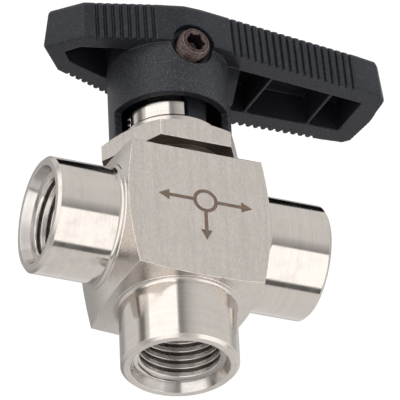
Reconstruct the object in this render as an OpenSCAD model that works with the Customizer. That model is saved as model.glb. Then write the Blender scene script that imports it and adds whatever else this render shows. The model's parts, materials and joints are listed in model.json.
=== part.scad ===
// Three way ball valve, quarter inch female ports, with a moulded lever.
// Origin: centre of the lower port's mouth. +Z runs up the stem, +X to the
// right-hand port, -Y is the flat marked face of the body.

/* [Body] */
// Distance between the mouths of the left and right ports
end_to_end = 42; // [40:0.5:48]
// Distance from the lower port's mouth to the port axis
port_drop = 21.4; // [20:0.1:24]
// Outside diameter of each port
port_od = 17; // [16.4:0.2:18]
// Width of the block at its corners, left to right
block_w = 19.4; // [19:0.2:20.4]
// Depth of the block, front to back
block_d = 19.2; // [19:0.2:20.4]
// Height of the block's top face above the port axis
block_top = 9.4; // [9:0.1:10]
// Depth of the block's lower corners below the port axis
block_drop = 11.2; // [11:0.1:12]

/* [Ports] */
// Diameter of the threaded hole, at the root of its thread
thread_d = 13.16; // [12.6:0.02:13.4]
// Length of the threaded hole
thread_len = 11; // [10:0.2:11.4]
// Diameter of the countersink at the port's mouth
recess_d = 14.3; // [14:0.1:14.8]
// Depth of the countersink at the port's mouth
recess_len = 1.4; // [1:0.1:1.6]
// Diameter of the flow passage
orifice_d = 4.8; // [4:0.1:5]

/* [Ball and stem] */
// Diameter of the ball
ball_d = 10.8; // [10.4:0.1:11]
// Diameter of the stem
stem_d = 6.4; // [6:0.1:6.6]

/* [Packing bolt] */
// Distance across the flats of the hexagon
hex_af = 18.8; // [18:0.1:19]
// Height of the hexagon
hex_h = 3.4; // [3:0.1:3.6]
// Diameter of the collar above the hexagon
collar_d = 13.2; // [12.8:0.1:13.4]
// Height of the collar's top above the hexagon
collar_h = 5; // [4.9:0.1:5.3]

/* [Lever] */
// Angle of the lever past the right-hand port, seen from above
lever_turn = 3.2; // [0:0.1:10]
// Reach of the lever's long end from the stem axis
long_reach = 33; // [30:0.5:36]
// Reach of the lever's pointed end from the stem axis
short_reach = 19.75; // [19:0.25:22]
// Half width of the lever where it is widest
lever_half_w = 9.4; // [9.2:0.1:9.8]
// Height of the lever's bar
bar_h = 6.8; // [6.4:0.1:7.4]
// Outside diameter of the lever's hub
hub_d = 17.8; // [17.4:0.1:18.2]
// Spacing of the grip grooves
groove_pitch = 1.18; // [1.1:0.02:1.22]
// Angle that the lever travels between its stops
travel = 180; // [170:1:182]

/* [Hidden] */
$fn = 96;

STEEL = [0.74, 0.72, 0.69];
BRIGHT = [0.82, 0.82, 0.82];
NYLON = [0.09, 0.09, 0.10];
PTFE = [0.93, 0.92, 0.88];
RUBBER = [0.06, 0.06, 0.06];
OXIDE = [0.22, 0.18, 0.16];

big = 60;
eps = 0.01;
running = 0.05;
touch = 0.02;

// Block and ports
side_slope = 0.26;
drop_slope = 0.12;
block_corner_r = norm([block_d / 2, (block_top + block_drop) / 2]);
foot_corner_r = norm([block_w / 2, block_d / 2]);
side_half = block_w / 2 + side_slope * (block_corner_r - port_od / 2);
foot_drop = block_drop + drop_slope * (foot_corner_r - port_od / 2);
root_fillet = 0.6;
fillet_foot = 0.25;
mouth_chamfer = 0.45;
edge_break = 0.25;

// Chamber
chamber_r = 7;
chamber_floor = -7;
bolt_bore_r = 7.25;
bolt_bore_floor = 4.75;
ring_pocket_r = 4.25;
ring_pocket_x = 7.8;
seal_bore_r = 7.8;
seal_bore_floor = 8.8;
seal_wire = 0.27;

// Packing, discs and rings
ball_r = ball_d / 2;
stem_r = stem_d / 2;
packing_r = chamber_r - running;
packing_top = 4.7;
disc_r = 4.2;
disc_in = 4.95;
disc_out = 5.75;
ring_in_r = 2.9;
ring_out = 7.75;

// Parts stacked on the stem under the packing bolt
stack_r = 5.55;
gland_z = [4.95, 6.35];
spring_z = 6.4;
spring_h = 0.95;
spring_cone = 0.35;
spring_gap = 0.05;
thrust_ring_z = [8.5, 9.5];

// Packing bolt
shank_r = 7.2;
shank_floor = 5.1;
stack_bore_r = 5.6;
stack_bore_top = 9.6;
neck_r = 8;
neck_h = 1.7;
hex_z = block_top + neck_h;
collar_z = hex_z + hex_h;
collar_top = collar_z + collar_h;
collar_r = collar_d / 2;
shoulder_r = 7.3;
shoulder_h = 2.05;
shoulder_top = collar_z + shoulder_h;
undercut_h = 0.3;
undercut = 0.45;
bushing_r = 3.85;
bushing_z = [12.2, collar_top - 0.5];
bolt_bore = 3.9;
hex_r = hex_af / sqrt(3);
hex_chamfer_r = hex_af / 2 - 0.3;
hex_chamfer_slope = 0.5;

// Stops: the lug hangs from the hub and runs in the collar's notch
lug_in = 4.95;
lug_out = 6.4;
lug_width = 31;
stop_gap = 3;
notch_in = 4.6;
notch_start = -94;
notch_end = notch_start + travel + lug_width + 2 * stop_gap;
notch_floor = shoulder_h + undercut_h / 2;
lug_start = notch_start + stop_gap;
lug_floor = 2.5;

// Washer, stem and insert above the collar
washer_z = [collar_top + 0.05, collar_top + 0.55];
washer_r = 4.5;
stem_top = 31.9;
o_ring_z = 11.2;
o_ring_r = 3.1;
o_ring_wire = 0.58;
o_ring_groove_r = 2.5;
o_ring_groove_h = 1.3;
stem_flat = 2.6;

// Lever, measured from the port axis
hub_r = hub_d / 2;
hub_floor = 19.65;
bar_floor = 28.3;
bar_top = bar_floor + bar_h;
bar_round = 0.8;
side_draft = 0.6;
skirt_floor = collar_z + 0.5;
skirt_wall = 1.2;
skirt_start = -42;
skirt_end = 180;
hub_recess_r = hub_r - skirt_wall;
hub_recess_top = 22;
insert_r = 4.6;
insert_z = [washer_z[1] + 0.1, 32.4];
stem_flat_z = insert_z[0] - touch;
insert_bore = stem_r + touch;
screw_z = 28.2;
screw_r = 2.4;
screw_tip = -stem_flat - touch;
screw_head = -9.7;
screw_hole_r = 2.45;
screw_recess_r = 3.2;
screw_recess_floor = -7.6;
socket_af = 2.5;
socket_depth = 2.4;
rim_w = 3.4;
pocket_top = bar_top - 1.8;
rib_t = 0.45;
rib_x = [14.75, 24.7];
rib_inset = 0.25;
groove_w = 0.95;
groove_d = 0.5;
short_groove_pitch = 0.94 * groove_pitch;
short_groove_count = 8;
short_groove_x = -5.8;
long_groove_count = 18;
long_groove_x = 6.65;
gusset_w = 1;
gusset_y = 4.9;
gusset_reach = 9.2;
gusset_foot = 7.7;
gusset_drop = 6.3;

// Half outline of the lever from its point to its long end, as x and half width
lever_half = [
    [-short_reach, 0],
    [-short_reach + 4.3, lever_half_w / 2],
    [-5.8, lever_half_w - 1.4],
    [-1.2, lever_half_w - 0.05],
    [1.6, lever_half_w],
    [14, lever_half_w - 1.25],
    [28, lever_half_w - 2.3],
    [long_reach - 1.4, lever_half_w - 2.8],
    [long_reach - 0.5, lever_half_w - 3.8],
    [long_reach, 0],
];

function turned_back(half) = [for (i = [len(half) - 1 : -1 : 0]) [half[i][0], -half[i][1]]];

module at_axis() {
    translate([0, 0, port_drop]) children();
}

module on_lever() {
    at_axis() rotate([0, 0, lever_turn]) children();
}

// Stand a solid that was drawn along +Z along +X, -X or -Z
module to_right() {
    rotate([0, 90, 0]) children();
}

module to_left() {
    rotate([0, -90, 0]) children();
}

module to_bottom() {
    rotate([180, 0, 0]) children();
}

module tube(outer, inner, z0, z1) {
    translate([0, 0, z0]) difference() {
        cylinder(r = outer, h = z1 - z0);
        translate([0, 0, -1]) cylinder(r = inner, h = z1 - z0 + 2);
    }
}

// Part of a disc between two angles
module sector(start, sweep, reach) {
    steps = ceil(sweep / 30);
    arc = [for (i = [0 : steps]) reach * [cos(start + sweep * i / steps), sin(start + sweep * i / steps)]];
    polygon(concat([[0, 0]], arc));
}

module arc_wall(outer, inner, start, sweep, z0, z1) {
    translate([0, 0, z0]) linear_extrude(z1 - z0) intersection() {
        difference() {
            circle(r = outer);
            circle(r = inner);
        }
        sector(start, sweep, 2 * outer);
    }
}

// A block end turned to a shallow cone, drawn with its axis along +Z
module turned_end(reach, slope) {
    rotate_extrude() polygon([
        [0, -big],
        [big, -big],
        [big, reach - slope * (big - port_od / 2)],
        [port_od / 2, reach],
        [0, reach],
    ]);
}

// Port barrel, drawn with its mouth at the given height on +Z
module port_barrel(reach, root) {
    rotate_extrude() polygon([
        [0, 0],
        [port_od / 2, 0],
        [port_od / 2, root - 2 * fillet_foot],
        [port_od / 2 + root_fillet + fillet_foot, root - 2 * fillet_foot],
        for (a = [90 : -15 : 0])
            [port_od / 2 + root_fillet * (1 - cos(a)), root + root_fillet * (1 - sin(a))],
        [port_od / 2, reach - mouth_chamfer],
        [port_od / 2 - mouth_chamfer, reach],
        [0, reach],
    ]);
}

module port_bore(reach) {
    thread_floor = reach - recess_len - thread_len;
    cone_floor = thread_floor - 0.6;
    translate([0, 0, reach - recess_len]) cylinder(d1 = thread_d, d2 = recess_d, h = recess_len + eps);
    translate([0, 0, thread_floor]) cylinder(d = thread_d, h = thread_len + eps);
    translate([0, 0, cone_floor]) cylinder(d1 = orifice_d, d2 = thread_d, h = 0.6 + eps);
    cylinder(d = orifice_d, h = reach);
    cylinder(r = ring_pocket_r, h = ring_pocket_x);
}

module block() {
    intersection() {
        translate([-big / 2, 0, 0]) rotate([90, 0, 90]) linear_extrude(big) polygon([
            [-block_d / 2, -foot_drop - 1],
            [block_d / 2, -foot_drop - 1],
            [block_d / 2, block_top - edge_break],
            [block_d / 2 - edge_break, block_top],
            [edge_break - block_d / 2, block_top],
            [-block_d / 2, block_top - edge_break],
        ]);
        to_right() turned_end(side_half, side_slope);
        to_left() turned_end(side_half, side_slope);
        to_bottom() turned_end(foot_drop, drop_slope);
    }
}

module valve_body() {
    color(STEEL) at_axis() difference() {
        union() {
            block();
            to_right() port_barrel(end_to_end / 2, side_half);
            to_left() port_barrel(end_to_end / 2, side_half);
            to_bottom() port_barrel(port_drop, foot_drop);
        }
        to_right() port_bore(end_to_end / 2);
        to_left() port_bore(end_to_end / 2);
        to_bottom() port_bore(port_drop);
        translate([0, 0, chamber_floor]) cylinder(r = chamber_r, h = big);
        translate([0, 0, bolt_bore_floor]) cylinder(r = bolt_bore_r, h = big);
        translate([0, 0, seal_bore_floor]) cylinder(r = seal_bore_r, h = big);
    }
}

module hexagon() {
    intersection() {
        translate([0, 0, hex_z]) cylinder(r = hex_r, h = hex_h, $fn = 6);
        rotate_extrude() polygon([
            [0, hex_z - 1],
            [hex_r + 1, hex_z - 1],
            [hex_r + 1, collar_z - hex_chamfer_slope * (hex_r + 1 - hex_chamfer_r)],
            [hex_chamfer_r, collar_z],
            [0, collar_z],
        ]);
    }
}

module packing_bolt() {
    color(STEEL) at_axis() difference() {
        union() {
            translate([0, 0, shank_floor]) cylinder(r = shank_r, h = block_top - shank_floor + eps);
            translate([0, 0, block_top]) cylinder(r = neck_r, h = neck_h + eps);
            hexagon();
            translate([0, 0, collar_z - eps]) cylinder(r = shoulder_r, h = shoulder_h + eps);
            translate([0, 0, shoulder_top - eps]) cylinder(r = collar_r - undercut, h = undercut_h + 2 * eps);
            translate([0, 0, shoulder_top + undercut_h])
                cylinder(r = collar_r, h = collar_top - shoulder_top - undercut_h);
        }
        translate([0, 0, shank_floor - 1]) cylinder(r = stack_bore_r, h = stack_bore_top - shank_floor + 1);
        cylinder(r = bolt_bore, h = big);
        arc_wall(collar_r + 1, notch_in, notch_start, notch_end - notch_start,
            collar_z + notch_floor, collar_top + 1);
    }
}

module bolt_seal_ring() {
    color(RUBBER) at_axis() translate([0, 0, (seal_bore_floor + block_top) / 2])
        rotate_extrude() translate([(shank_r + seal_bore_r) / 2, 0]) circle(r = seal_wire, $fn = 32);
}

module packing_cavity() {
    sphere(r = ball_r + running);
    cylinder(r = stem_r + running, h = big);
    for (turn = [0, 180]) rotate([0, 0, turn]) to_right() {
        cylinder(d = orifice_d, h = big);
        translate([0, 0, disc_in - touch]) cylinder(r = ring_pocket_r, h = big);
    }
    to_bottom() {
        cylinder(d = orifice_d, h = big);
        translate([0, 0, disc_in - touch]) cylinder(r = ring_pocket_r, h = big);
    }
}

module lower_packing() {
    color(PTFE) at_axis() difference() {
        translate([0, 0, chamber_floor + touch]) cylinder(r = packing_r, h = -chamber_floor - 2 * touch);
        packing_cavity();
    }
}

module upper_packing() {
    color(PTFE) at_axis() difference() {
        cylinder(r = packing_r, h = packing_top);
        packing_cavity();
    }
}

module seat_disc() {
    color(BRIGHT) tube(disc_r, orifice_d / 2, disc_in, disc_out);
}

module seat_ring() {
    color(PTFE) tube(disc_r, ring_in_r, disc_out + touch, ring_out);
}

module left_seat_disc() {
    at_axis() to_left() seat_disc();
}

module right_seat_disc() {
    at_axis() to_right() seat_disc();
}

module bottom_seat_disc() {
    at_axis() to_bottom() seat_disc();
}

module left_seat_ring() {
    at_axis() to_left() seat_ring();
}

module right_seat_ring() {
    at_axis() to_right() seat_ring();
}

module bottom_seat_ring() {
    at_axis() to_bottom() seat_ring();
}

module packing_gland() {
    color(BRIGHT) at_axis() tube(stack_r, stem_r + running, gland_z[0], gland_z[1]);
}

// A coned washer, its outer edge lower than its inner edge
module disc_spring(z) {
    wall = spring_h - spring_cone;
    color(BRIGHT) at_axis() translate([0, 0, z]) rotate_extrude() polygon([
        [stem_r + 0.2, spring_cone],
        [stack_r, 0],
        [stack_r, wall],
        [stem_r + 0.2, spring_h],
    ]);
}

module lower_disc_spring() {
    disc_spring(spring_z);
}

module upper_disc_spring() {
    disc_spring(spring_z + spring_h + spring_gap);
}

module thrust_ring() {
    color(BRIGHT) at_axis() tube(stack_r, stem_r + running, thrust_ring_z[0], thrust_ring_z[1]);
}

module stem_bushing() {
    color(PTFE) at_axis() tube(bushing_r, stem_r + running, bushing_z[0], bushing_z[1]);
}

module thrust_washer() {
    color(PTFE) at_axis() tube(washer_r, stem_r + running, washer_z[0], washer_z[1]);
}

// The passage runs from below to the side that the lever's pointed end shows
module ball_stem() {
    color(BRIGHT) on_lever() difference() {
        union() {
            sphere(r = ball_r);
            cylinder(r = stem_r, h = stem_top);
        }
        to_bottom() cylinder(d = orifice_d, h = big);
        to_left() cylinder(d = orifice_d, h = big);
        sphere(d = orifice_d);
        translate([0, 0, o_ring_z - o_ring_groove_h / 2])
            tube(stem_r + 1, o_ring_groove_r, 0, o_ring_groove_h);
        translate([-big / 2, -big - stem_flat, stem_flat_z]) cube([big, big, big]);
    }
}

module stem_o_ring() {
    color(RUBBER) on_lever() translate([0, 0, o_ring_z])
        rotate_extrude() translate([o_ring_r, 0]) circle(r = o_ring_wire, $fn = 32);
}

module insert_blank(extra) {
    translate([0, 0, insert_z[0]]) cylinder(r = insert_r + extra, h = insert_z[1] - insert_z[0]);
}

// Points along -Y at the height of the set screw
module on_screw() {
    translate([0, 0, screw_z]) rotate([90, 0, 0]) children();
}

module handle_insert() {
    color(STEEL) on_lever() difference() {
        insert_blank(0);
        difference() {
            translate([0, 0, hub_floor]) cylinder(r = insert_bore, h = stem_top + touch - hub_floor);
            translate([-big / 2, -big - stem_flat - touch, hub_floor]) cube([big, big, big]);
        }
        on_screw() cylinder(r = screw_hole_r, h = big);
    }
}

module set_screw() {
    length = -screw_head + screw_tip;
    color(OXIDE) on_lever() on_screw() difference() {
        translate([0, 0, -screw_tip]) rotate_extrude() polygon([
            [0, 0],
            [screw_r - 0.6, 0],
            [screw_r, 0.6],
            [screw_r, length - 0.3],
            [screw_r - 0.3, length],
            [0, length],
        ]);
        translate([0, 0, -screw_head - socket_depth])
            cylinder(r = socket_af / sqrt(3), h = socket_depth + 1, $fn = 6);
    }
}

module lever_outline(inset) {
    offset(delta = -inset) polygon(concat(lever_half, turned_back(lever_half)));
}

// One level of the bar: its outline inset, from a height above the bar's floor
module bar_level(inset, z, thickness) {
    translate([0, 0, bar_floor + z]) linear_extrude(thickness) lever_outline(inset);
}

module bar_blank() {
    hull() {
        bar_level(0, 0, 0.5);
        bar_level(side_draft, bar_h - bar_round - 0.2, 0.2);
        bar_level(side_draft + bar_round * 0.3, bar_h - bar_round * 0.5, 0.15);
        bar_level(side_draft + bar_round, bar_h - 0.15, 0.15);
    }
}

function half_width(x) = lookup(x, lever_half);

// The narrow hollow between two rounded ridges, y outwards from the wall
function groove_section() = [
    for (p = [[-0.9, 1.6], [-1, 0.2], [-0.6, -0.1], [-0.4, -0.4], [-0.3, -1],
            [0.3, -1], [0.4, -0.4], [0.6, -0.1], [1, 0.2], [0.9, 1.6]])
        [p[0] * groove_w / 2, p[1] * groove_d]
];

module groove(x) {
    translate([x, half_width(x), bar_floor])
        rotate([0, 0, atan(half_width(x + 0.5) - half_width(x - 0.5))])
            rotate([atan(side_draft / (bar_h - bar_round)), 0, 0])
                translate([0, 0, -1]) linear_extrude(bar_h + 2) polygon(groove_section());
}

module side_grooves() {
    for (flip = [0, 1]) mirror([0, flip, 0]) {
        for (i = [0 : short_groove_count - 1]) groove(short_groove_x - i * short_groove_pitch);
        for (i = [0 : long_groove_count - 1]) groove(long_groove_x + i * groove_pitch);
    }
}

// Hollows in the underside, which stop at the hub
module pocket(outline) {
    translate([0, 0, bar_floor - 1]) difference() {
        linear_extrude(pocket_top - bar_floor + 1) polygon(outline);
        translate([0, 0, -1]) cylinder(r = hub_r - 0.3, h = bar_h + 2);
    }
}

module pockets() {
    near = 5.1;
    far = 3.9;
    pocket([
        [0, -near],
        [hub_r, -near],
        [long_reach - rim_w, -far],
        [long_reach - rim_w, far],
        [hub_r, near],
        [0, near],
    ]);
    pocket([
        [-short_reach + 3.3, 0],
        [-short_reach + 5, -2],
        [-hub_r, -3.8],
        [0, -6],
        [0, 6],
        [-hub_r, 3.8],
        [-short_reach + 5, 2],
    ]);
}

module gusset() {
    rotate([90, 0, 0]) linear_extrude(gusset_w, center = true) polygon([
        [hub_r - 3, bar_floor + 0.5],
        [gusset_reach, bar_floor + 0.5],
        [gusset_reach, bar_floor],
        [gusset_foot, bar_floor - gusset_drop],
        [hub_r - 3, bar_floor - gusset_drop],
    ]);
}

// Hub with a skirt that hangs below it round its back
module hub_blank() {
    open_span = 360 - skirt_end + skirt_start;
    difference() {
        translate([0, 0, skirt_floor]) cylinder(r = hub_r, h = bar_floor + 0.5 - skirt_floor);
        translate([0, 0, skirt_floor - 1]) {
            cylinder(r = hub_r - skirt_wall, h = hub_floor - skirt_floor + 1);
            linear_extrude(hub_floor - skirt_floor + 1) polygon(concat([[0, 0]], [
                for (i = [0 : 4]) let (a = skirt_end + open_span * i / 4) 2 * hub_r * [cos(a), sin(a)]
            ]));
        }
    }
}

module handle() {
    color(NYLON) on_lever() difference() {
        union() {
            difference() {
                bar_blank();
                pockets();
                side_grooves();
            }
            for (x = rib_x) translate([x - rib_t / 2, -half_width(x) + rim_w - 1, bar_floor + rib_inset])
                cube([rib_t, 2 * (half_width(x) - rim_w + 1), pocket_top - bar_floor]);
            hub_blank();
            for (side = [-1, 1]) translate([0, side * gusset_y, 0]) gusset();
        }
        translate([0, 0, hub_floor - 1]) cylinder(r = hub_recess_r, h = hub_recess_top - hub_floor + 1);
        insert_blank(touch);
        on_screw() cylinder(r = screw_hole_r, h = big);
        on_screw() translate([0, 0, -screw_recess_floor]) cylinder(r = screw_recess_r, h = big);
    }
    color(NYLON) on_lever()
        arc_wall(lug_out, lug_in, lug_start, lug_width, collar_z + lug_floor, hub_recess_top + 0.3);
}

valve_body();
packing_bolt();
bolt_seal_ring();
lower_packing();
upper_packing();
left_seat_disc();
right_seat_disc();
bottom_seat_disc();
left_seat_ring();
right_seat_ring();
bottom_seat_ring();
packing_gland();
lower_disc_spring();
upper_disc_spring();
thrust_ring();
stem_bushing();
thrust_washer();
ball_stem();
stem_o_ring();
handle_insert();
set_screw();
handle();
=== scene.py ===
"""Looks of a small three way ball valve with a moulded lever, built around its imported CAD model."""

import json
import math

import bmesh
import bpy
from mathutils import Matrix, Vector


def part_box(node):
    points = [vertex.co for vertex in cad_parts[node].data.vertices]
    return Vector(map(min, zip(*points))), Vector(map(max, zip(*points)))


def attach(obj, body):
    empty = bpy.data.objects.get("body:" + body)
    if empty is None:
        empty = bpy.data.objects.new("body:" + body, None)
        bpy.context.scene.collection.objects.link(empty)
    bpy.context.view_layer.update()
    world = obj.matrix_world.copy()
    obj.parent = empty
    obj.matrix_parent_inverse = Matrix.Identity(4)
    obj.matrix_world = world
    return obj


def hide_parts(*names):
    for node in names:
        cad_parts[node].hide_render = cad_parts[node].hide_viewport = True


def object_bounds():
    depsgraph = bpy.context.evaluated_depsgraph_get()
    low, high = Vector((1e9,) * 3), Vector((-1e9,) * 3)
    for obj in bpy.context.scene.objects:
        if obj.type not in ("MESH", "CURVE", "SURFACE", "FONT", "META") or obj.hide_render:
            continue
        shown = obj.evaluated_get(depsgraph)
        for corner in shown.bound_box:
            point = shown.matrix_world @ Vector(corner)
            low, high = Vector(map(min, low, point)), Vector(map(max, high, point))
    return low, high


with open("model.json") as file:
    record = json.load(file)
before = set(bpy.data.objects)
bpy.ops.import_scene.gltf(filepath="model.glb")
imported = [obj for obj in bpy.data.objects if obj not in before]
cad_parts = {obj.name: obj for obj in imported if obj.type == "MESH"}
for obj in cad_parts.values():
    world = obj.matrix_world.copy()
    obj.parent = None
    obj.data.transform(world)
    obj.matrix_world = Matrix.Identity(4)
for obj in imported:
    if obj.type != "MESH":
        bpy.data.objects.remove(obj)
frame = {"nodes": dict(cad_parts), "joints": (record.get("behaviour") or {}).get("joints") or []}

cad_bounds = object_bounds()
MM = 0.001

# Places that the frame gives
lever_joint = frame["joints"][0]
AXIS_Z = lever_joint["pos_m"][2]
LEVER_TURN = math.radians(-lever_joint["range_deg"][0])
body_low, body_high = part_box("valve_body")
screw_low, screw_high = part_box("set_screw")
FRONT_Y = body_low.y
PORT_REACH = body_high.x
NODES = frame["nodes"]

# Camera: where it stands round its target, in degrees and metres, and its lens in millimetres
CAMERA_TARGET = Vector((4.21 * MM, 0, AXIS_Z + 7.56 * MM))
CAMERA_AZIMUTH = -23.4
CAMERA_ELEVATION = -32.66
CAMERA_DISTANCE = 0.9
CAMERA_ROLL = -2.64
CAMERA_LENS = 561.8

# Port threads: pitch, radii, how far from the mouth they start and end, lead-in and runout
THREAD_PITCH = 1.38 * MM
THREAD_ROOT = 6.60 * MM
THREAD_CREST = 5.74 * MM
THREAD_BACK = 6.78 * MM
THREAD_START = 1.42 * MM
THREAD_END = 12.3 * MM
THREAD_LEAD = 0.25 * MM
THREAD_RUNOUT = 0.9 * MM

# Valve body: a barrel's and a bore's limiting radius, then distances from the middle of the ports
BARREL_OUTSIDE = 9.1 * MM
BORE_INSIDE = 7.3 * MM
SIDE_BARREL_FROM = 9.5 * MM
FOOT_BARREL_FROM = 11.3 * MM
BLOCK_SIDE = 8.5 * MM
BLOCK_END = 9 * MM
FRONT_FROM = 9.5 * MM

# Bolt: the radius outside which its hexagon lies, then heights above the middle of the ports
HEXAGON_FROM = 8.5 * MM
BOLT_SHADED_TOP = 11.2 * MM
HEXAGON_TOP = 14.6 * MM
COLLAR_LOW = 16.45 * MM
# Heights of the painted shade line where the collar meets the shoulder
COLLAR_SHADE_LINE = (16.9 * MM, 17.2 * MM)
COLLAR_THREAD_HIGH = 19.3 * MM

# The lever's hub: the radius of its wall, and the height where the bar begins
HUB_R = 8.9 * MM
HUB_TOP = AXIS_Z + 28.3 * MM

X_AXIS, Z_AXIS = (1, 0, 0), (0, 0, 1)


# ---------------------------------------------------------------- node helpers

class Graph:
    """Adds shader nodes to a tree and links them as they are made."""

    def __init__(self, tree):
        self.tree = tree
        tree.nodes.clear()

    def put(self, socket, value):
        if isinstance(value, bpy.types.NodeSocket):
            self.tree.links.new(value, socket)
        else:
            socket.default_value = value

    def node(self, kind, inputs=None, **settings):
        made = self.tree.nodes.new(kind)
        for name, value in settings.items():
            setattr(made, name, value)
        for name, value in (inputs or {}).items():
            self.put(made.inputs[name], value)
        return made

    def math(self, operation, *values):
        made = self.node("ShaderNodeMath", operation=operation)
        for socket, value in zip(made.inputs, values):
            self.put(socket, value)
        return made.outputs[0]

    def vector(self, operation, *values, out="Vector"):
        made = self.node("ShaderNodeVectorMath", operation=operation)
        for socket, value in zip(made.inputs, values):
            self.put(socket, value)
        return made.outputs[out]

    def split(self, vector):
        return self.node("ShaderNodeSeparateXYZ", {"Vector": vector}).outputs

    def rescale(self, value, low, high, to_low=0.0, to_high=1.0, smooth=False):
        made = self.node("ShaderNodeMapRange", {
            "Value": value, "From Min": low, "From Max": high, "To Min": to_low, "To Max": to_high,
        }, interpolation_type="SMOOTHSTEP" if smooth else "LINEAR", clamp=True)
        return made.outputs["Result"]

    def noise(self, vector, scale, detail, roughness):
        return self.node("ShaderNodeTexNoise", {
            "Vector": vector, "Scale": scale, "Detail": detail, "Roughness": roughness,
        }).outputs["Fac"]

    def stretched_noise(self, vector, scales, detail, roughness):
        """Noise with its own scale along each axis."""
        return self.noise(self.vector("MULTIPLY", vector, scales), 1.0, detail, roughness)

    def line_noise(self, value, scale, detail):
        return self.node("ShaderNodeTexNoise", {
            "W": value, "Scale": scale, "Detail": detail,
        }, noise_dimensions="1D").outputs["Fac"]

    def ramp(self, fac, stops):
        made = self.node("ShaderNodeValToRGB", {"Fac": fac})
        elements = made.color_ramp.elements
        elements.remove(elements[1])
        elements[0].position = stops[0][0]
        for position, _ in stops[1:]:
            elements.new(position)
        for element, (_, value) in zip(elements, stops):
            element.color = (value, value, value, 1)
        return made.outputs["Color"]

    def mix(self, fac, a, b):
        made = self.node("ShaderNodeMix", data_type="RGBA")
        self.put(made.inputs[0], fac)
        self.put(made.inputs[6], a)
        self.put(made.inputs[7], b)
        return made.outputs[2]

    def weigh(self, a, share_a, b, share_b):
        """a and b, each times its share, added up."""
        return self.math("ADD", self.math("MULTIPLY", a, share_a), self.math("MULTIPLY", b, share_b))

    def bump(self, depth, height, normal=None):
        made = self.node("ShaderNodeBump", {"Strength": 1.0, "Distance": depth, "Height": height})
        if normal is not None:
            self.put(made.inputs["Normal"], normal)
        return made.outputs["Normal"]

    def mix_shaders(self, fac, a, b):
        made = self.node("ShaderNodeMixShader", {"Fac": fac})
        self.put(made.inputs[1], a)
        self.put(made.inputs[2], b)
        return made.outputs[0]

    def background(self, color, strength):
        return self.node("ShaderNodeBackground", {"Color": color, "Strength": strength}).outputs[0]


def rgba(color, gain=1.0):
    return (color[0] * gain, color[1] * gain, color[2] * gain, 1.0)


def new_material(name):
    material = bpy.data.materials.new(name)
    material.use_nodes = True
    return material, Graph(material.node_tree)


def finish_material(graph, **inputs):
    titles = {"specular_ior_level": "Specular IOR Level"}
    shader = graph.node("ShaderNodeBsdfPrincipled", {
        titles.get(name, name.replace("_", " ").title()): value for name, value in inputs.items()
    })
    graph.node("ShaderNodeOutputMaterial", {"Surface": shader.outputs[0]})


def place(graph):
    """Where a shaded point is in its object at rest, in metres."""
    return graph.node("ShaderNodeTexCoord").outputs["Object"]


# ---------------------------------------------------------------- metal

STEEL = (0.612, 0.567, 0.528)
SHADED_STEEL = (0.56, 0.53, 0.505)
# A lighter copy of the steel for the port threads: painted light inside the bores.
LIT_THREAD_STEEL = (0.635, 0.60, 0.575)
SPRING_STEEL = (0.50, 0.46, 0.41)
# Dark colour of painted shade, under the bolt and in the line where the collar meets the shoulder.
PAINTED_SHADE = (0.20, 0.17, 0.15)

# How far normals are tipped, towards the mouth in the threads and downwards on the collar
THREAD_LEAN = 0.32
COLLAR_LEAN = (0, 0, -0.22)

# Lathe lines, as noise scales, and the reach of the shade in corners
FINE_LINES = 9000
BROAD_LINES = 0.12 * FINE_LINES
CORNER_REACH = 1.6 * MM


# The edge mask serves real wear on the nylon and the oxide, and painted highlights on the steel.
def edge_wear_and_highlight(graph, width):
    """1 on sharp edges, 0 away from them, with the softened normal."""
    soft = graph.node("ShaderNodeBevel", {"Radius": width}, samples=6).outputs["Normal"]
    hard = graph.node("ShaderNodeNewGeometry").outputs["Normal"]
    along = graph.vector("DOT_PRODUCT", soft, hard, out="Value")
    return graph.rescale(along, 0.999, 0.93), soft


def shade_band(graph, height, band):
    """1 between two heights, fading to 0 just outside them."""
    low, high = band
    above = graph.rescale(height, low - 0.04 * MM, low)
    below = graph.rescale(height, high + 0.1 * MM, high)
    return graph.math("MULTIPLY", above, below)


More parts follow.
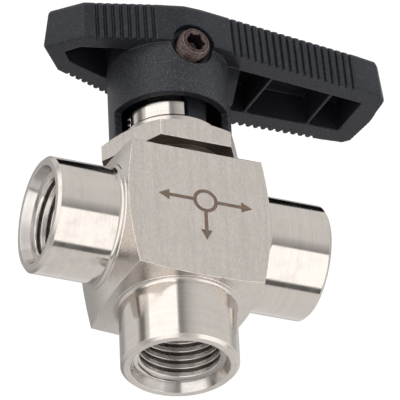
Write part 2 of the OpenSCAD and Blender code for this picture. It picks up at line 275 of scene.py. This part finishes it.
def turned_steel(name, axis, roughness, line_depth, base=STEEL, smear=0.6, lean=(0, 0, 0), dark_band=None):
    """Steel off a lathe, with rings round an axis through the middle of the ports, with painted shade in
    its corners and a painted highlight on its edges.

    lean tips the surface's normal, as a slight cove or a rounded thread would.
    dark_band gives two heights between which the steel is darkened as a painted shade line.
    """
    material, g = new_material(name)
    here = g.vector("SUBTRACT", place(g), (0, 0, AXIS_Z))
    along = g.vector("DOT_PRODUCT", here, axis, out="Value")
    out = g.vector("SUBTRACT", here, g.vector("MULTIPLY", here, axis))
    radius = g.vector("LENGTH", out, out="Value")
    step = g.math("ADD", along, radius)
    rings = g.line_noise(step, FINE_LINES, 3)
    broad = g.line_noise(step, BROAD_LINES, 2)
    patches = g.noise(here, 420, 3, 0.6)
    edge, soft = edge_wear_and_highlight(g, 0.12 * MM)
    lines = g.weigh(rings, 0.7, broad, 0.3)
    leaning = g.vector("NORMALIZE", g.vector("ADD", soft, lean))
    bump = g.bump(line_depth, lines, leaning)
    tint = g.mix(g.rescale(lines, 0.3, 0.7), rgba(base, 0.90), rgba(base, 1.06))
    smudged = g.mix(g.rescale(patches, 0.52, 0.75, 0, 0.5), tint, rgba(base, 0.84))
    # Painted shade: the steel's colour is darkened where ambient occlusion finds corners close by.
    open_to_light = g.node("ShaderNodeAmbientOcclusion", {"Distance": CORNER_REACH},
                           samples=8, only_local=True).outputs["AO"]
    corner_shaded = g.mix(g.rescale(open_to_light, 0.40, 0.80), rgba(base, 0.58), smudged)
    # Painted highlight: the steel is made lighter along every sharp edge.
    color = g.mix(edge, corner_shaded, rgba(base, 1.25))
    # Painted shade: a dark line between two heights, where the collar meets the shoulder.
    if dark_band:
        within = shade_band(g, g.split(here)[2], dark_band)
        color = g.mix(within, color, rgba(PAINTED_SHADE, 0.6))
    rough = g.math("ADD", roughness, g.rescale(patches, 0.35, 0.75, -0.03, 0.07))
    tangent = g.vector("NORMALIZE", g.vector("CROSS_PRODUCT", here, axis))
    finish_material(g, base_color=color, metallic=1.0, roughness=rough, normal=bump,
                    anisotropic=smear, anisotropic_rotation=0.25, tangent=tangent)
    return material


def brushed_steel(name, roughness, depth):
    """Flat milled steel with fine upright lines, and small nicks along its edges made lighter as a painted
    highlight.
    """
    material, g = new_material(name)
    here = place(g)
    fine = g.stretched_noise(here, (5200, 5200, 260), 3, 0.65)
    long = g.stretched_noise(here, (1500, 1500, 40), 2, 0.5)
    patches = g.noise(here, 260, 3, 0.6)
    scratch = g.stretched_noise(here, (2600, 2600, 700), 1, 0.5)
    edge, soft = edge_wear_and_highlight(g, 0.16 * MM)
    # Real nicks along the edges, with a painted highlight: their colour is made much lighter.
    nick_and_glint = g.math("MULTIPLY", edge, g.rescale(g.noise(here, 1500, 2, 0.6), 0.44, 0.54))
    grain = g.stretched_noise(here, (4200, 4200, 2300), 2, 0.6)
    lines = g.weigh(fine, 0.6, long, 0.4)
    bump = g.bump(depth, lines, soft)
    tone = g.weigh(lines, 0.55, grain, 0.45)
    tint = g.mix(g.rescale(tone, 0.38, 0.62), rgba(STEEL, 0.86), rgba(STEEL, 1.10))
    hazy = g.mix(g.rescale(patches, 0.45, 0.75, 0, 0.45), tint, rgba(STEEL, 0.90))
    scored = g.mix(g.rescale(scratch, 0.72, 0.78, 0, 0.4), hazy, rgba(STEEL, 1.3))
    color = g.mix(nick_and_glint, scored, rgba(STEEL, 1.62))
    rough = g.math("ADD", roughness, g.rescale(patches, 0.3, 0.75, -0.04, 0.05))
    finish_material(g, base_color=color, metallic=1.0, roughness=rough, normal=bump,
                    anisotropic=0.5, tangent=(1, 0, 0))
    return material


# ---------------------------------------------------------------- plastic, rubber and small metals

NYLON_DARK = (0.0105, 0.0112, 0.0150)
NYLON_PALE = (0.0165, 0.0174, 0.0222)
NYLON_SPECK = (0.105, 0.106, 0.118)
NYLON_RUBBED = (0.12, 0.12, 0.13)
NYLON_SHEEN = (0.90, 0.94, 1.0)


def moulded_nylon(name, grain_scale=2600, depth=34e-6, specular=0.29, speck_from=0.62):
    """Black glass-filled nylon with a moulded grain, paler where its edges are rubbed."""
    material, g = new_material(name)
    here = place(g)
    grain = g.noise(here, grain_scale, 3, 0.6)
    speck = g.noise(here, 5200, 1, 0.4)
    cloud = g.noise(here, 180, 3, 0.6)
    height = g.math("ADD", grain, g.math("MULTIPLY", cloud, 0.3))
    bump = g.bump(depth, height)
    tint = g.mix(g.rescale(cloud, 0.3, 0.7), rgba(NYLON_DARK), rgba(NYLON_PALE))
    specks = g.rescale(speck, speck_from, speck_from + 0.12, 0, 0.6)
    speckled = g.mix(specks, tint, rgba(NYLON_SPECK))
    edge, _ = edge_wear_and_highlight(g, 0.20 * MM)
    rubbed = g.math("MULTIPLY", edge, g.rescale(g.noise(here, 900, 3, 0.65), 0.46, 0.66))
    color = g.mix(rubbed, speckled, rgba(NYLON_RUBBED))
    rough = g.rescale(grain, 0.3, 0.7, 0.32, 0.50)
    finish_material(g, base_color=color, roughness=rough, normal=bump,
                    specular_ior_level=specular, specular_tint=rgba(NYLON_SHEEN))
    return material


def plain_polymer(name, color, roughness, grain_scale, depth, specular):
    """Turned or moulded polymer with a faint mottled surface."""
    material, g = new_material(name)
    here = place(g)
    mottle = g.noise(here, grain_scale, 3, 0.6)
    rings = g.line_noise(g.split(here)[2], FINE_LINES, 2)
    height = g.math("ADD", mottle, g.math("MULTIPLY", rings, 0.4))
    bump = g.bump(depth, height)
    tint = g.mix(g.rescale(mottle, 0.3, 0.7), rgba(color, 0.9), rgba(color, 1.05))
    rough = g.math("ADD", roughness, g.rescale(mottle, 0.3, 0.7, -0.05, 0.08))
    finish_material(g, base_color=tint, roughness=rough, normal=bump, specular_ior_level=specular)
    return material


OXIDE_DARK = (0.030, 0.022, 0.021)
OXIDE_PALE = (0.125, 0.088, 0.080)
OXIDE_RUBBED = (0.50, 0.44, 0.42)


def oxide_steel(name):
    """Dark oxide on a socket screw, worn to bare metal on its edges."""
    material, g = new_material(name)
    here = place(g)
    mottle = g.noise(here, 1900, 4, 0.65)
    speck = g.noise(here, 5200, 2, 0.5)
    edge, soft = edge_wear_and_highlight(g, 0.10 * MM)
    bump = g.bump(6e-6, mottle, soft)
    tint = g.mix(g.rescale(mottle, 0.35, 0.68), rgba(OXIDE_DARK), rgba(OXIDE_PALE))
    rubbed = g.math("MULTIPLY", edge, g.rescale(speck, 0.35, 0.6, 0.2, 1.0))
    color = g.mix(rubbed, tint, rgba(OXIDE_RUBBED))
    rough = g.rescale(mottle, 0.3, 0.7, 0.30, 0.48)
    finish_material(g, base_color=color, metallic=0.9, roughness=rough, normal=bump)
    return material


LASER_DARK = (0.115, 0.075, 0.052)
LASER_PALE = (0.24, 0.175, 0.13)


def laser_mark(name):
    """Brown oxide left by a marking laser."""
    material, g = new_material(name)
    here = place(g)
    mottle = g.noise(here, 3000, 3, 0.6)
    passes = g.stretched_noise(here, (900, 900, 9000), 2, 0.5)
    tone = g.weigh(mottle, 0.5, passes, 0.5)
    color = g.mix(g.rescale(tone, 0.35, 0.65), rgba(LASER_DARK), rgba(LASER_PALE))
    rough = g.rescale(tone, 0.3, 0.7, 0.45, 0.65)
    finish_material(g, base_color=color, metallic=0.3, roughness=rough)
    return material


# ---------------------------------------------------------------- dressing the CAD nodes

def dress(node, materials, choose=None):
    """Gives a CAD node its materials, face by face where choose(centre, normal) says which."""
    mesh = NODES[node].data
    mesh.materials.clear()
    for material in materials:
        mesh.materials.append(material)
    for face in mesh.polygons:
        face.use_smooth = True
        face.material_index = choose(face.center, face.normal) if choose else 0


FLAT, BARREL_X, END_X, BARREL_Z, END_Z, BORE_X, BORE_Z = range(7)


def body_finish(centre, normal):
    """Which finish a face of the valve body has."""
    x, y, z = centre.x, centre.y, centre.z - AXIS_Z
    from_x = math.hypot(y, z)
    from_z = math.hypot(x, y)
    across_x, across_z = abs(normal.x) < 0.5, abs(normal.z) < 0.5
    if abs(normal.y) > 0.999 and abs(y) > FRONT_FROM:
        return FLAT
    if abs(x) > SIDE_BARREL_FROM and from_x < BARREL_OUTSIDE:
        if from_x < BORE_INSIDE and across_x:
            return BORE_X
        return BARREL_X if across_x else END_X
    if z < -FOOT_BARREL_FROM and from_z < BARREL_OUTSIDE:
        if from_z < BORE_INSIDE and across_z:
            return BORE_Z
        return BARREL_Z if across_z else END_Z
    if abs(normal.x) > 0.8 and abs(x) > BLOCK_SIDE:
        return END_X
    if normal.z < -0.8 and z < -BLOCK_END:
        return END_Z
    if normal.z > 0.8 and z > BLOCK_END:
        return FLAT
    return BORE_Z


def dress_body():
    dress("valve_body", [
        brushed_steel("body_flat", 0.36, 3.0e-6),
        turned_steel("body_barrel_side", X_AXIS, 0.11, 0.5e-6, smear=0.75),
        turned_steel("body_end_side", X_AXIS, 0.26, 1.2e-6),
        turned_steel("body_barrel_foot", Z_AXIS, 0.11, 0.5e-6, smear=0.75),
        turned_steel("body_end_foot", Z_AXIS, 0.26, 1.2e-6),
        turned_steel("body_bore_side", X_AXIS, 0.18, 1.2e-6, SHADED_STEEL, smear=0.5),
        turned_steel("body_bore_foot", Z_AXIS, 0.18, 1.2e-6, SHADED_STEEL, smear=0.5),
    ], body_finish)


HEX_FLAT, BOLT_FACE, COLLAR, SHADED = range(4)


def bolt_finish(centre, normal):
    """Hexagon flats are milled, the rest of the bolt is turned, and what faces the block is darkened as
    painted shade.
    """
    z = centre.z - AXIS_Z
    if z < BOLT_SHADED_TOP:
        return SHADED
    on_hexagon = z < HEXAGON_TOP and math.hypot(centre.x, centre.y) > HEXAGON_FROM
    if on_hexagon and abs(normal.z) < 0.3:
        return HEX_FLAT
    return BOLT_FACE if z < COLLAR_LOW else COLLAR


def dress_bolt():
    dress("packing_bolt", [
        brushed_steel("bolt_hexagon", 0.40, 2.0e-6),
        turned_steel("bolt_faces", Z_AXIS, 0.28, 1.2e-6),
        turned_steel("bolt_collar", Z_AXIS, 0.14, 0.5e-6, smear=0.75, lean=COLLAR_LEAN,
                     dark_band=COLLAR_SHADE_LINE),
        # Painted shade: the underside that faces the block gets a dark base colour.
        turned_steel("bolt_shaded", Z_AXIS, 0.34, 1.2e-6, base=PAINTED_SHADE),
    ], bolt_finish)


def dress_inside():
    bright = turned_steel("bright_steel", Z_AXIS, 0.16, 0.6e-6)
    spring = turned_steel("spring_steel", Z_AXIS, 0.24, 1.0e-6, base=SPRING_STEEL)
    ptfe = plain_polymer("white_ptfe", (0.80, 0.79, 0.76), 0.45, 2200, 3e-6, 0.35)
    bearing = plain_polymer("bearing_ptfe", (0.66, 0.60, 0.50), 0.50, 2600, 3e-6, 0.35)
    rubber = plain_polymer("black_rubber", (0.018, 0.018, 0.020), 0.62, 3600, 5e-6, 0.4)
    for node in ("ball_stem", "handle_insert", "packing_gland", "thrust_ring"):
        dress(node, [bright])
    for node in ("lower_disc_spring", "upper_disc_spring"):
        dress(node, [spring])
    for side in ("left", "right", "bottom"):
        dress(side + "_seat_disc", [bright])
        dress(side + "_seat_ring", [ptfe])
    for node in ("lower_packing", "upper_packing"):
        dress(node, [ptfe])
    for node in ("stem_bushing", "thrust_washer"):
        dress(node, [bearing])
    for node in ("bolt_seal_ring", "stem_o_ring"):
        dress(node, [rubber])


# ---------------------------------------------------------------- meshes made by rings

def smooth_by_angle(piece, degrees):
    """Smooth shading, with edges sharper than an angle kept crisp."""
    mesh = piece.data
    bm = bmesh.new()
    bm.from_mesh(mesh)
    limit = math.radians(degrees)
    for edge in bm.edges:
        edge.smooth = len(edge.link_faces) == 2 and edge.calc_face_angle(0) < limit
    for face in bm.faces:
        face.smooth = True
    bm.to_mesh(mesh)
    bm.free()


def circle(radius, height, count):
    return [
        (radius * math.cos(math.tau * i / count), radius * math.sin(math.tau * i / count), height)
        for i in range(count)
    ]


def rounded_tooth(t, root=0.12, crest=0.12):
    """Height from 0 at a thread's root to 1 at its crest, over one pitch."""
    rise = 1 - abs(2 * (t % 1) - 1)
    return min(max((rise - root) / (1 - root - crest), 0), 1)


def flat_tooth(t):
    """A tooth whose crest is wide and whose root is a narrow groove."""
    return rounded_tooth(t, 0.05, 0.58)


def helix_rings(pitch, low, high, radius_at, columns, steps, profile=rounded_tooth):
    """Rings that follow a thread's helix between two heights. radius_at(height, tooth) gives the radius."""
    turns = math.ceil((high - low) / pitch) + 1
    rings = []
    for row in range(turns * steps + 1):
        ring = []
        for i in range(columns + 1):
            height = low - pitch + pitch * row / steps + pitch * i / columns
            held = min(max(height, low), high)
            radius = radius_at(held, profile(row / steps))
            angle = math.tau * i / columns
            ring.append((radius * math.cos(angle), radius * math.sin(angle), held))
        rings.append(ring)
    return rings


def helix_skin(bm, rings):
    """Faces over open helix rings, joined where one turn meets the next."""
    rows = [[bm.verts.new(point) for point in ring] for ring in rings]
    for low, high in zip(rows, rows[1:]):
        for i in range(len(low) - 1):
            bm.faces.new((low[i], low[i + 1], high[i + 1], high[i]))


def band_skin(bm, rings):
    """Faces over whole rings."""
    rows = [[bm.verts.new(point) for point in ring] for ring in rings]
    for low, high in zip(rows, rows[1:]):
        for i in range(len(low)):
            j = (i + 1) % len(low)
            bm.faces.new((low[i], low[j], high[j], high[i]))


def object_from(bm, name):
    bmesh.ops.remove_doubles(bm, verts=bm.verts, dist=2e-7)
    bmesh.ops.dissolve_degenerate(bm, edges=bm.edges, dist=1e-7)
    bmesh.ops.recalc_face_normals(bm, faces=bm.faces)
    mesh = bpy.data.meshes.new(name)
    bm.to_mesh(mesh)
    bm.free()
    piece = bpy.data.objects.new(name, mesh)
    bpy.context.scene.collection.objects.link(piece)
    return piece


# ---------------------------------------------------------------- threads

def port_thread(name, turn, reach, material):
    """The thread inside one port. It is drawn with the port's mouth at the given height on +Z."""
    columns, steps = 96, 16
    low, high = reach - THREAD_END, reach - THREAD_START
    depth = THREAD_ROOT - THREAD_CREST

    def radius_at(height, tooth):
        crest = THREAD_ROOT - depth * tooth
        entry = THREAD_ROOT - depth * (high - height) / THREAD_LEAD
        deep = THREAD_ROOT - depth * (height - low) / THREAD_RUNOUT
        return min(max(crest, entry, deep), THREAD_ROOT)

    bm = bmesh.new()
    helix_skin(bm, helix_rings(THREAD_PITCH, low, high, radius_at, columns, steps, flat_tooth))
    band_skin(bm, [
        circle(THREAD_ROOT, low, columns),
        circle(THREAD_BACK, low, columns),
        circle(THREAD_BACK, high, columns),
        circle(THREAD_ROOT, high, columns),
    ])
    piece = object_from(bm, name)
    piece.data.transform(Matrix.Translation((0, 0, AXIS_Z)) @ turn)
    piece.data.materials.append(material)
    smooth_by_angle(piece, 50)
    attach(piece, "body")


def port_threads():
    quarter = math.pi / 2
    for side, turn, reach, mouth in (
        ("right", Matrix.Rotation(quarter, 4, "Y"), PORT_REACH, Vector((1, 0, 0))),
        ("left", Matrix.Rotation(-quarter, 4, "Y"), PORT_REACH, Vector((-1, 0, 0))),
        ("bottom", Matrix.Rotation(math.pi, 4, "X"), AXIS_Z, Vector((0, 0, -1))),
    ):
        axis = tuple(abs(part) for part in mouth)
        steel = turned_steel(side + "_thread_steel", axis, 0.22, 0.6e-6, LIT_THREAD_STEEL, smear=0.4,
                             lean=tuple(mouth * THREAD_LEAN))
        port_thread(side + "_port_thread", turn, reach, steel)


# ---------------------------------------------------------------- set screw

SCREW_Z = (screw_low.z + screw_high.z) / 2
SCREW_R = (screw_high.z - screw_low.z) / 2
SCREW_PITCH = 0.8 * MM
SCREW_CORE = SCREW_R - 0.40 * MM
SCREW_RIM = SCREW_CORE - 0.2 * MM
SCREW_TIP = 2.62 * MM
SCREW_CHAMFER = 0.40 * MM
CUP_R = 1.1 * MM
CUP_DEPTH = 0.4 * MM
SOCKET_FLATS = 2.5 * MM
SOCKET_CORNER = SOCKET_FLATS / math.sqrt(3)
SOCKET_DEPTH = 2.4 * MM


def hexagon_ring(across_flats, height, count):
    """Points round a hexagon, at even angles with one on each corner."""
    ring = []
    for i in range(count):
        angle = math.tau * i / count
        within = (angle % (math.pi / 3)) - math.pi / 6
        radius = across_flats / 2 / math.cos(within)
        ring.append((radius * math.cos(angle), radius * math.sin(angle), height))
    return ring


def screw_mesh(head):
    """The screw's thread, socket and cup point, drawn upright with its head at a given height."""
    columns, steps = 48, 8
    thread_end = head - 0.1 * MM
    socket_floor = head - SOCKET_DEPTH

    def radius_at(height, tooth):
        thread = SCREW_CORE + (SCREW_R - SCREW_CORE) * tooth
        top = SCREW_CORE + (head - SCREW_CHAMFER - height) + SCREW_CHAMFER * 0.9
        bottom = SCREW_RIM + (height - SCREW_TIP)
        return max(min(thread, top, bottom), SCREW_RIM)

    bm = bmesh.new()
    helix_skin(bm, helix_rings(SCREW_PITCH, SCREW_TIP, thread_end, radius_at, columns, steps))
    band_skin(bm, [
        circle(radius_at(thread_end, 0), thread_end, columns),
        circle(SCREW_RIM - 0.06 * MM, head, columns),
        circle(SOCKET_CORNER + 0.14 * MM, head, columns),
        circle(SOCKET_CORNER, head - 0.12 * MM, columns),
        hexagon_ring(SOCKET_FLATS, head - 0.26 * MM, columns),
        hexagon_ring(SOCKET_FLATS, socket_floor, columns),
        circle(0.2 * MM, socket_floor - 0.5 * MM, columns),
        circle(0.0, socket_floor - 0.55 * MM, columns),
    ])
    band_skin(bm, [
        circle(radius_at(SCREW_TIP, 0), SCREW_TIP, columns),
        circle(CUP_R, SCREW_TIP, columns),
        circle(0.0, SCREW_TIP + CUP_DEPTH, columns),
    ])
    return bm


def set_screw():
    """Cup point set screw with a hexagon socket, which stands for the CAD one."""
    head = -screw_low.y / math.cos(LEVER_TURN)
    piece = object_from(screw_mesh(head), "set_screw_detail")
    outwards = Matrix.Rotation(math.pi / 2, 4, "X")
    piece.data.transform(
        Matrix.Rotation(LEVER_TURN, 4, "Z") @ Matrix.Translation((0, 0, SCREW_Z)) @ outwards
    )
    piece.data.materials.append(oxide_steel("screw_oxide"))
    smooth_by_angle(piece, 40)
    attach(piece, "lever")
    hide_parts("set_screw")


# ---------------------------------------------------------------- collar thread

SECTOR_PITCH = 1.0 * MM
SECTOR_BACK = 6.3 * MM
SECTOR_ROOT = 6.62 * MM
SECTOR_CREST = 6.95 * MM
SECTOR_START = math.radians(126)
SECTOR_SWEEP = math.radians(62)


def sector_lines(columns, steps):
    """Points on the sector's toothed outside, in level lines from its bottom to its top."""
    low, high = AXIS_Z + COLLAR_LOW, AXIS_Z + COLLAR_THREAD_HIGH
    rows = round((high - low) / SECTOR_PITCH * steps)
    lines = []
    for row in range(rows + 1):
        height = low + (high - low) * row / rows
        line = []
        for i in range(columns + 1):
            share = i / columns
            tooth = rounded_tooth((height - low) / SECTOR_PITCH + share * SECTOR_SWEEP / math.tau)
            fade = min(min(share, 1 - share) * 12, 1)
            radius = SECTOR_ROOT + (SECTOR_CREST - SECTOR_ROOT) * tooth * fade
            angle = SECTOR_START + SECTOR_SWEEP * share
            line.append((radius * math.cos(angle), radius * math.sin(angle), height))
        lines.append(line)
    return lines


def at_radius(point, radius):
    """The point moved to another distance from the stem's axis."""
    x, y, z = point
    reach = math.hypot(x, y)
    return (x * radius / reach, y * radius / reach, z)


def sheet(bm, lines, flip):
    """Faces between lines of vertices."""
    for low, high in zip(lines, lines[1:]):
        for i in range(len(low) - 1):
            quad = (low[i], low[i + 1], high[i + 1], high[i])
            bm.faces.new(quad[::-1] if flip else quad)


def collar_thread():
    """Short threaded sector on the back of the bolt's collar."""
    lines = sector_lines(26, 8)
    bm = bmesh.new()
    outer = [[bm.verts.new(point) for point in line] for line in lines]
    back = [[bm.verts.new(at_radius(point, SECTOR_BACK)) for point in line] for line in lines]
    sheet(bm, outer, False)
    sheet(bm, back, True)
    for i in (0, -1):
        sheet(bm, [[line[i] for line in outer], [line[i] for line in back]], False)
        sheet(bm, [outer[i], back[i]], False)
    piece = object_from(bm, "collar_thread")
    piece.data.materials.append(turned_steel("collar_thread_steel", Z_AXIS, 0.16, 0.5e-6, smear=0.4))
    smooth_by_angle(piece, 45)
    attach(piece, "body")


# ---------------------------------------------------------------- lever

WELD_GAP = 1e-6
VOXEL = 0.11 * MM
KEPT_SHARE = 0.4


def soften(piece):
    """Rounds a piece's edges a little, as a mould does, and thins the mesh that this makes."""
    weld = piece.modifiers.new("weld", "WELD")
    weld.merge_threshold = WELD_GAP
    remesh = piece.modifiers.new("remesh", "REMESH")
    remesh.mode = "VOXEL"
    remesh.voxel_size = VOXEL
    remesh.use_smooth_shade = True
    smooth = piece.modifiers.new("smooth", "SMOOTH")
    smooth.factor = 0.5
    smooth.iterations = 2
    thin = piece.modifiers.new("thin", "DECIMATE")
    thin.ratio = KEPT_SHARE
    evaluated = piece.evaluated_get(bpy.context.evaluated_depsgraph_get())
    applied = bpy.data.meshes.new_from_object(evaluated)
    piece.modifiers.clear()
    piece.data = applied


def is_hub_wall(face):
    """Whether a face is on the round outside of the hub."""
    from_axis = math.hypot(face.center.x, face.center.y)
    on_hub = HUB_R - 0.2 * MM < from_axis < HUB_R + 0.1 * MM
    return on_hub and face.center.z < HUB_TOP and abs(face.normal.z) < 0.5


def moulded_handle():
    """The lever with the soft edges of a moulding, in place of the CAD one."""
    piece = bpy.data.objects.new("moulded_handle", NODES["handle"].data.copy())
    bpy.context.scene.collection.objects.link(piece)
    soften(piece)
    piece.data.materials.clear()
    piece.data.materials.append(moulded_nylon("black_nylon"))
    piece.data.materials.append(moulded_nylon("black_nylon_hub", 3600, 120e-6, 0.42, 0.54))
    for face in piece.data.polygons:
        face.material_index = 1 if is_hub_wall(face) else 0
    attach(piece, "lever")
    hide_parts("handle")


# ---------------------------------------------------------------- flow mark

MARK_MIDDLE = Vector((0.9 * MM, AXIS_Z + 0.9 * MM))
MARK_PROUD = 0.012 * MM
MARK_SUNK = 0.08 * MM
MARK_STROKE = 0.55 * MM
MARK_RING = 1.9 * MM
MARK_HALF = 7.2 * MM
MARK_DROP = 6.6 * MM
ARROW_LENGTH = 1.7 * MM
ARROW_SPREAD = 3.2


def mark_plate(bm, outline):
    """A thin plate in the front face, from an outline round the middle of the mark."""
    points = [MARK_MIDDLE + point for point in outline]
    front = [bm.verts.new((x, FRONT_Y - MARK_PROUD, z)) for x, z in points]
    back = [bm.verts.new((x, FRONT_Y + MARK_SUNK, z)) for x, z in points]
    bm.faces.new(front)
    bm.faces.new(back[::-1])
    for i in range(len(points)):
        j = (i + 1) % len(points)
        bm.faces.new((front[i], back[i], back[j], front[j]))


def mark_arrow(bm, direction, length):
    """A stroke from the ring outwards, with a head on its end."""
    across = Vector((-direction.y, direction.x)) * MARK_STROKE / 2
    start, neck = direction * MARK_RING, direction * (length - ARROW_LENGTH)
    mark_plate(bm, [start - across, neck - across, neck + across, start + across])
    spread = across * ARROW_SPREAD
    mark_plate(bm, [neck - spread, direction * length, neck + spread])


def mark_ring(bm, segments):
    """The ring round the middle, as short plates."""
    inner, outer = MARK_RING - MARK_STROKE, MARK_RING
    for i in range(segments):
        a, b = (math.tau * k / segments for k in (i, i + 1))
        corners = ((a, inner), (b, inner), (b, outer), (a, outer))
        mark_plate(bm, [Vector((math.cos(t), math.sin(t))) * radius for t, radius in corners])


def flow_mark():
    """Plain three way flow sign on the front: a run from side to side and a branch down."""
    bm = bmesh.new()
    mark_arrow(bm, Vector((1, 0)), MARK_HALF)
    mark_arrow(bm, Vector((-1, 0)), MARK_HALF)
    mark_arrow(bm, Vector((0, -1)), MARK_DROP)
    mark_ring(bm, 40)
    piece = object_from(bm, "flow_mark")
    piece.data.materials.append(laser_mark("laser_brown"))
    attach(piece, "body")


# ---------------------------------------------------------------- stage, light and camera

# Where matt surfaces get most of their light from
KEY_LIGHT = (0.45, -0.30, 0.84)

# Tint of what polished metal mirrors, and how much the brightest of it is lifted
MIRRORED_TINT = (1.0, 0.995, 0.985)
GLOW = 0.75


def floor():
    """Pale floor that only shows from above, so a camera below it sees the object."""
    half = 2.0
    mesh = bpy.data.meshes.new("floor")
    corners = [(-half, -half), (half, -half), (half, half), (-half, half)]
    mesh.from_pydata([(x, y, cad_bounds[0][2]) for x, y in corners], [], [(0, 1, 2, 3)])
    plane = bpy.data.objects.new("floor", mesh)
    bpy.context.scene.collection.objects.link(plane)
    material, g = new_material("pale_floor")
    from_above = g.math("SUBTRACT", 1.0, g.node("ShaderNodeNewGeometry").outputs["Backfacing"])
    seen = g.math("MULTIPLY", g.node("ShaderNodeLightPath").outputs["Is Camera Ray"], from_above)
    clear = g.node("ShaderNodeBsdfTransparent").outputs[0]
    matt = g.node("ShaderNodeBsdfDiffuse", {"Color": (0.86, 0.86, 0.86, 1)}).outputs[0]
    g.node("ShaderNodeOutputMaterial", {"Surface": g.mix_shaders(seen, clear, matt)})
    mesh.materials.append(material)


def once_round(graph, a, b):
    """The angle of two parts of a direction as a share of a turn, with 0.5 straight ahead."""
    return graph.math("ADD", graph.math("DIVIDE", graph.math("ARCTAN2", a, b), math.tau), 0.5)


def at(degrees):
    """Where an angle falls on a ramp over once_round."""
    return degrees / 360 + 0.5


def surroundings(g, towards):
    """How bright it is in each direction: soft boxes and dark cards in a white room."""
    x, y, z = g.split(towards)
    front = g.math("MULTIPLY", y, -1.0)
    above = g.ramp(once_round(g, x, front), [
        (at(-180), 0.42), (at(-160), 0.46), (at(-146), 0.84), (at(-110), 0.92), (at(-101), 0.26),
        (at(-93), 0.26), (at(-88), 0.85), (at(-80), 1.0), (at(-24), 1.0), (at(-20), 0.36),
        (at(-14), 0.40), (at(-6), 0.62), (at(2), 0.76), (at(10), 0.84), (at(26), 0.93),
        (at(90), 0.91), (at(101), 0.60), (at(112), 0.60), (at(126), 0.76), (at(160), 0.52),
        (at(180), 0.42),
    ])
    below = g.ramp(once_round(g, z, front), [
        (at(-180), 0.90), (at(-100), 0.94), (at(-92), 0.90), (at(-90), 0.15), (at(-81), 0.15),
        (at(-78), 1.0), (at(-11), 1.0), (at(-9), 0.36), (at(12), 0.84), (at(60), 0.94), (at(180), 0.94),
    ])
    raised = g.rescale(z, 0.06, 0.38, smooth=True)
    leftward = g.rescale(x, 0.30, 0.16, smooth=True)
    sides = g.mix(g.math("MAXIMUM", raised, leftward), below, above)
    zenith = g.rescale(z, 0.80, 0.95, smooth=True)
    return g.mix(zenith, sides, (0.90, 0.90, 0.90, 1))


def studio():
    """White to the camera, one soft light on matt surfaces, and the surroundings in polished metal."""
    world = bpy.data.worlds.new("studio")
    world.use_nodes = True
    bpy.context.scene.world = world
    g = Graph(world.node_tree)
    towards = g.node("ShaderNodeTexCoord").outputs["Generated"]
    around = surroundings(g, towards)
    glow = g.math("MULTIPLY", g.rescale(g.split(around)[0], 0.95, 1.0), GLOW)
    mirrored = g.background(g.vector("MULTIPLY", around, MIRRORED_TINT), g.math("ADD", 1.0, glow))
    white = g.background((1, 1, 1, 1), 1.05)
    towards_key = g.vector("DOT_PRODUCT", towards, KEY_LIGHT, out="Value")
    soft = g.background((1, 0.995, 0.99, 1), g.rescale(towards_key, -0.9, 0.9, 0.15, 1.1))
    paths = g.node("ShaderNodeLightPath").outputs
    lit = g.mix_shaders(paths["Is Diffuse Ray"], mirrored, soft)
    seen = g.mix_shaders(paths["Is Camera Ray"], lit, white)
    g.node("ShaderNodeOutputWorld", {"Surface": seen})


def camera():
    azimuth, elevation = math.radians(CAMERA_AZIMUTH), math.radians(CAMERA_ELEVATION)
    back = Vector((
        math.sin(azimuth) * math.cos(elevation),
        -math.cos(azimuth) * math.cos(elevation),
        math.sin(elevation),
    ))
    level = (-back).cross(Vector((0, 0, 1))).normalized()
    upright = level.cross(-back)
    roll = math.radians(CAMERA_ROLL)
    right = level * math.cos(roll) + upright * math.sin(roll)
    up = upright * math.cos(roll) - level * math.sin(roll)
    data = bpy.data.cameras.new("camera")
    data.lens = CAMERA_LENS
    data.clip_start = 0.05
    data.clip_end = 10
    eye = bpy.data.objects.new("camera", data)
    bpy.context.scene.collection.objects.link(eye)
    turn = Matrix((right, up, back)).transposed().to_4x4()
    eye.matrix_world = Matrix.Translation(CAMERA_TARGET + back * CAMERA_DISTANCE) @ turn
    bpy.context.scene.camera = eye
    bpy.context.scene.view_settings.view_transform = "Standard"


dress_body()
dress_bolt()
dress_inside()
dress("set_screw", [oxide_steel("screw_oxide_plain")])
dress("handle", [moulded_nylon("nylon_plain")])
port_threads()
collar_thread()
set_screw()
moulded_handle()
flow_mark()
floor()
studio()
camera()
